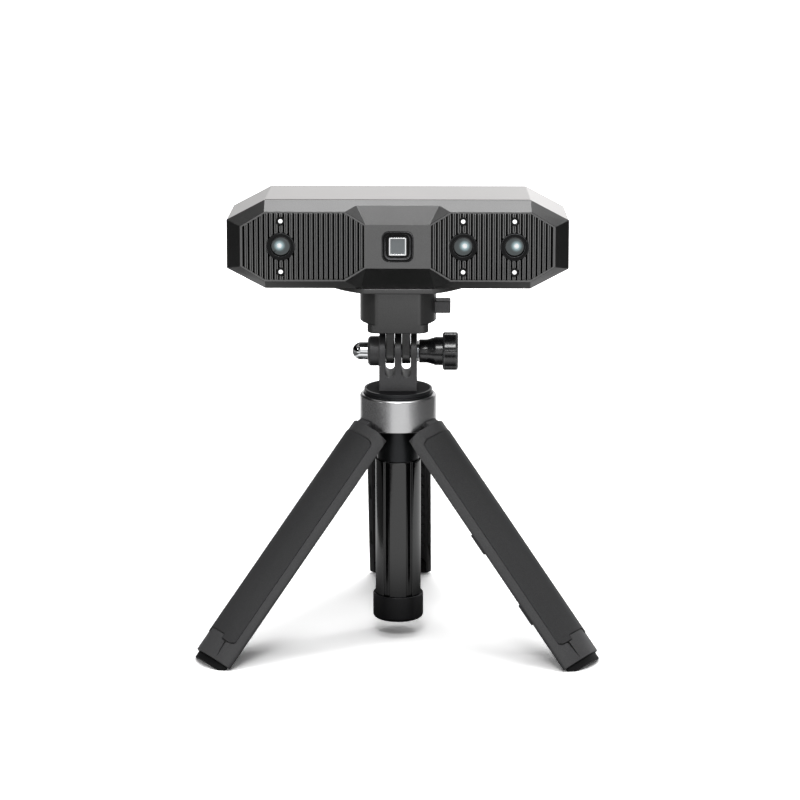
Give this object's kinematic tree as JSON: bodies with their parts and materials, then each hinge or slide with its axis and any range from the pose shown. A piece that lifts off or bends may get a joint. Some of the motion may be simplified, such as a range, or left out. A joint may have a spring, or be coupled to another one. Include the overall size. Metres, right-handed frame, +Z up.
{
  "type": "handheld 3-d scanner on a folding table tripod",
  "caption": "Handheld structured-light 3-d scanner head with quick-release block, tilting thumb-screw mount and folding mini tripod with a telescoping column",
  "frame": {"origin": "Middle of the bounding box on the table plane, z = 0 under the open tripod's feet; the tripod's column axis stands at x = 0, y = -0.0165 m.", "axes": "+Z up along the column; -Y is the side the cameras look out of; +X is the side of the clamp knob; the rear leg points to +Y."},
  "size_m": [0.143, 0.1274, 0.1621],
  "materials": {
    "shell_aluminium": "fine bead-blasted and clear anodised sheet, light silver grey",
    "bezel_plastic": "moulded dark grey plastic with a fine satin grain",
    "black_plastic": "black moulded plastic, fine matte grain",
    "window_glass": "coated optical glass, polished",
    "light_lens": "clear moulded lens, polished",
    "module_black": "black anodised and moulded module housings, matte",
    "board_green": "solder-masked circuit board, satin",
    "trim_white": "bright white and metallised trim, gloss",
    "bracket_aluminium": "stamped sheet, mill finish",
    "screw_steel": "machined zinc-plated steel",
    "screw_black": "black oxide steel screws",
    "socket_steel": "deep-drawn nickel-plated shell",
    "insert_brass": "turned brass",
    "mount_plastic": "glass-filled dark grey plastic, matte",
    "prong_plastic": "glass-filled dark grey plastic, matte",
    "chrome_nut": "chrome-plated and polished",
    "knob_plastic": "black moulded plastic, satin",
    "disc_plastic": "black moulded plastic, satin",
    "pad_rubber": "soft rubber, matte",
    "tube_steel": "drawn stainless tube, fine circumferential lines",
    "bush_plastic": "natural acetal bushes, satin",
    "flute_black": "extruded tube, gloss black",
    "cap_plastic": "black moulded plastic, satin",
    "collar_metal": "turned and gunmetal anodised, fine turning lines",
    "hub_plastic": "black glass-filled plastic",
    "leg_plastic": "dark grey moulded plastic, fine grain",
    "grip_rubber": "soft-touch elastomer, fine grain",
    "foot_rubber": "black rubber, matte"
  },
  "bodies": {
    "tripod": {"fluted_tube": "flute_black", "end_cap": "cap_plastic", "outer_tube": "tube_steel", "outer_guide": "bush_plastic", "collar": "collar_metal", "hub": "hub_plastic", "hinge_pins": "screw_steel"},
    "middle_stage": {"middle_tube": "tube_steel", "middle_bush": "bush_plastic", "middle_guide": "bush_plastic"},
    "top_stage": {"inner_tube": "tube_steel", "inner_bush": "bush_plastic", "platform_disc": "disc_plastic", "platform_pad": "pad_rubber", "camera_screw": "screw_steel", "tripod_adapter": "prong_plastic", "adapter_insert": "insert_brass", "cap_nut": "chrome_nut"},
    "clamp_slider": {"clamp_washer": "screw_steel"},
    "clamp": {"clamp_screw": "screw_steel", "clamp_knob": "knob_plastic"},
    "head": {"rear_shell": "shell_aluminium", "front_bezel": "bezel_plastic", "left_camera_ring": "black_plastic", "inner_camera_ring": "black_plastic", "right_camera_ring": "black_plastic", "camera_windows": "window_glass", "left_camera_module": "module_black", "inner_camera_module": "module_black", "right_camera_module": "module_black", "fill_light_lenses": "light_lens", "fill_light_boards": "board_green", "projector_frame": "black_plastic", "projector_trim": "trim_white", "projector_window": "window_glass", "projector_module": "module_black", "optics_bracket": "bracket_aluminium", "bracket_screws": "screw_steel", "main_board": "board_green", "board_screws": "screw_steel", "cable_socket": "socket_steel", "case_screws": "screw_black", "thread_insert": "insert_brass", "mount_screw": "screw_steel", "mount_flange": "mount_plastic", "mount_block": "mount_plastic", "finger_plate": "mount_plastic", "plate_screws": "screw_steel", "latch_spring": "screw_steel"},
    "latch": {"release_latch": "mount_plastic"},
    "left_leg": {"left_leg_shell": "leg_plastic", "left_leg_grip": "grip_rubber", "left_leg_foot": "foot_rubber"},
    "right_leg": {"right_leg_shell": "leg_plastic", "right_leg_grip": "grip_rubber", "right_leg_foot": "foot_rubber"},
    "rear_leg": {"rear_leg_shell": "leg_plastic", "rear_leg_grip": "grip_rubber", "rear_leg_foot": "foot_rubber"}
  },
  "joints": [
    {"name": "left_leg_fold", "type": "hinge", "parent": "tripod", "child": "left_leg", "pos_m": [-0.00849, -0.02142, 0.08156], "axis": [0.5, -0.866, 0], "range_deg": [0, 40.2]},
    {"name": "right_leg_fold", "type": "hinge", "parent": "tripod", "child": "right_leg", "pos_m": [0.00849, -0.02142, 0.08156], "axis": [0.5, 0.866, 0], "range_deg": [0, 40.2]},
    {"name": "rear_leg_fold", "type": "hinge", "parent": "tripod", "child": "rear_leg", "pos_m": [0, -0.00672, 0.08156], "axis": [-1, 0, 0], "range_deg": [0, 40.2]},
    {"name": "column_lower", "type": "slide", "parent": "tripod", "child": "middle_stage", "axis": [0, 0, 1], "range_m": [0, 0.05]},
    {"name": "column_upper", "type": "slide", "parent": "middle_stage", "child": "top_stage", "axis": [0, 0, 1], "range_m": [0, 0.05]},
    {"name": "head_tilt", "type": "hinge", "parent": "top_stage", "child": "head", "pos_m": [0, -0.01652, 0.1045], "axis": [1, 0, 0], "range_deg": [-80, 80]},
    {"name": "clamp_travel", "type": "slide", "parent": "top_stage", "child": "clamp_slider", "axis": [1, 0, 0], "range_m": [0, 0.0016]},
    {"name": "clamp_turn", "type": "hinge", "parent": "clamp_slider", "child": "clamp", "pos_m": [0, -0.01652, 0.1045], "axis": [1, 0, 0], "range_deg": [0, 720]},
    {"name": "latch_press", "type": "slide", "parent": "head", "child": "latch", "axis": [-1, 0, 0], "range_m": [0, 0.0012], "stiffness_N_per_m": 800, "deforming": ["latch_spring"]}
  ],
  "couplings": [
    {"joint": "clamp_turn", "follows": "clamp_travel", "rad_per_m": 7854}
  ]
}
